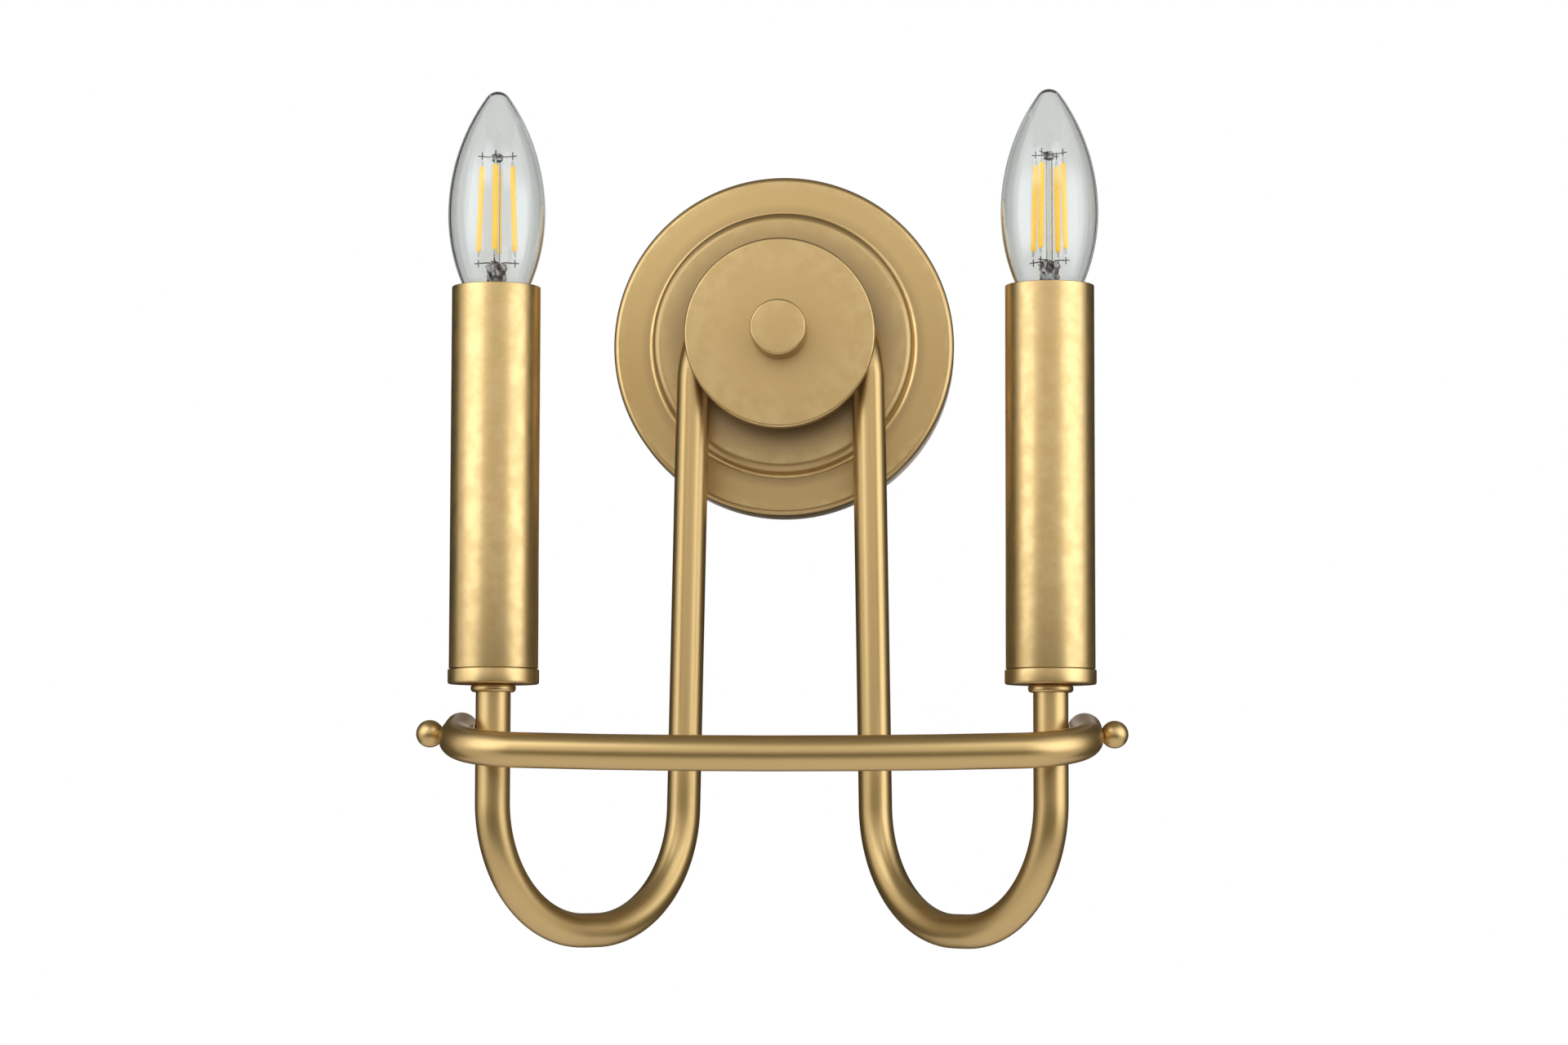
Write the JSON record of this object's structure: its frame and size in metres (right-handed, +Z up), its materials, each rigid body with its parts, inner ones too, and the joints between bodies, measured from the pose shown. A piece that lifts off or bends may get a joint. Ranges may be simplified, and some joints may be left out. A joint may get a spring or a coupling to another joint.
{
  "type": "double arm wall sconce",
  "caption": "Double arm wall sconce in satin brushed gold: round stepped canopy, U-bent tube arms with candle sleeves and clear candle bulbs, and a bowed crossbar with ball finials.",
  "frame": {"origin": "centre of the canopy's back, on the wall plane", "axes": "+Z up, +Y into the wall, -Y out into the room, +X to the right of a person facing the wall"},
  "size_m": [0.2578, 0.1781, 0.3144],
  "materials": {
    "gold": "satin brushed gold paint",
    "steel": "zinc plated",
    "brass": "turned",
    "nickel": "nickel plated, rolled",
    "clear_glass": "clear blown",
    "phenolic": "moulded phenolic",
    "black_glass": "fused glass",
    "phosphor": "silicone coated",
    "nylon": "moulded nylon",
    "green_paint": "green dyed",
    "lead_black": "extruded insulation",
    "lead_white": "extruded insulation",
    "connector": "moulded"
  },
  "bodies": {
    "fixture": {"mounting_strap": "steel", "stud_lock_nut": "steel", "arm_lock_washers": "steel", "arm_lock_nuts": "steel", "candle_lock_nuts": "steel", "bracket_screws": "steel", "center_stud": "steel", "ground_screw": "green_paint", "canopy": "gold", "hub_spacer": "gold", "cover_disc": "gold", "ball_screws": "gold", "pivot_washers": "nylon", "arm_tube_left": "gold", "candle_collar_left": "gold", "candle_cup_left": "gold", "candle_nipple_left": "brass", "socket_shell_left": "brass", "socket_contact_left": "brass", "socket_bracket_left": "steel", "socket_body_left": "phenolic", "lead_live_left": "lead_black", "lead_neutral_left": "lead_white", "arm_tube_right": "gold", "candle_collar_right": "gold", "candle_cup_right": "gold", "candle_nipple_right": "brass", "socket_shell_right": "brass", "socket_contact_right": "brass", "socket_bracket_right": "steel", "socket_body_right": "phenolic", "lead_live_right": "lead_black", "lead_neutral_right": "lead_white", "wire_connector_live": "connector", "wire_connector_neutral": "connector"},
    "crossbar": {"crossbar": "gold", "crossbar_plugs": "gold"},
    "knob_washer": {"knob_washer": "nylon"},
    "knob": {"knob": "gold"},
    "sleeve_left": {"candle_sleeve_left": "gold"},
    "bulb_contact_left": {"bulb_contact_left": "nickel"},
    "bulb_left": {"bulb_glass_left": "clear_glass", "bulb_base_left": "nickel", "bulb_insulator_left": "black_glass", "bulb_stem_left": "clear_glass", "bulb_filaments_left": "phosphor", "bulb_wires_left": "nickel"},
    "sleeve_right": {"candle_sleeve_right": "gold"},
    "bulb_contact_right": {"bulb_contact_right": "nickel"},
    "bulb_right": {"bulb_glass_right": "clear_glass", "bulb_base_right": "nickel", "bulb_insulator_right": "black_glass", "bulb_stem_right": "clear_glass", "bulb_filaments_right": "phosphor", "bulb_wires_right": "nickel"}
  },
  "joints": [
    {"name": "crossbar_tilt", "type": "hinge", "parent": "fixture", "child": "crossbar", "pos_m": [0, -0.1315, -0.155], "axis": [1, 0, 0], "range_deg": [-40, 30]},
    {"name": "knob_advance", "type": "slide", "parent": "fixture", "child": "knob_washer", "axis": [0, -1, 0], "range_m": [0, 0.01016]},
    {"name": "knob_turn", "type": "hinge", "parent": "knob_washer", "child": "knob", "pos_m": [0, -0.072, 0], "axis": [0, -1, 0], "range_deg": [0, 2880]},
    {"name": "sleeve_lift_left", "type": "slide", "parent": "fixture", "child": "sleeve_left", "axis": [0, 0, 1], "range_m": [0, 0.006]},
    {"name": "bulb_rise_left", "type": "slide", "parent": "fixture", "child": "bulb_contact_left", "axis": [0, 0, 1], "range_m": [0, 0.01016]},
    {"name": "bulb_turn_left", "type": "hinge", "parent": "bulb_contact_left", "child": "bulb_left", "pos_m": [-0.101, -0.1315, 0.035], "axis": [0, 0, 1], "range_deg": [0, 1440]},
    {"name": "sleeve_lift_right", "type": "slide", "parent": "fixture", "child": "sleeve_right", "axis": [0, 0, 1], "range_m": [0, 0.006]},
    {"name": "bulb_rise_right", "type": "slide", "parent": "fixture", "child": "bulb_contact_right", "axis": [0, 0, 1], "range_m": [0, 0.01016]},
    {"name": "bulb_turn_right", "type": "hinge", "parent": "bulb_contact_right", "child": "bulb_right", "pos_m": [0.101, -0.1315, 0.035], "axis": [0, 0, 1], "range_deg": [0, 1440]}
  ],
  "couplings": [
    {"joint": "knob_advance", "follows": "knob_turn", "m_per_rad": 0.00020213},
    {"joint": "bulb_rise_left", "follows": "bulb_turn_left", "m_per_rad": 0.00040425},
    {"joint": "bulb_rise_right", "follows": "bulb_turn_right", "m_per_rad": 0.00040425}
  ]
}
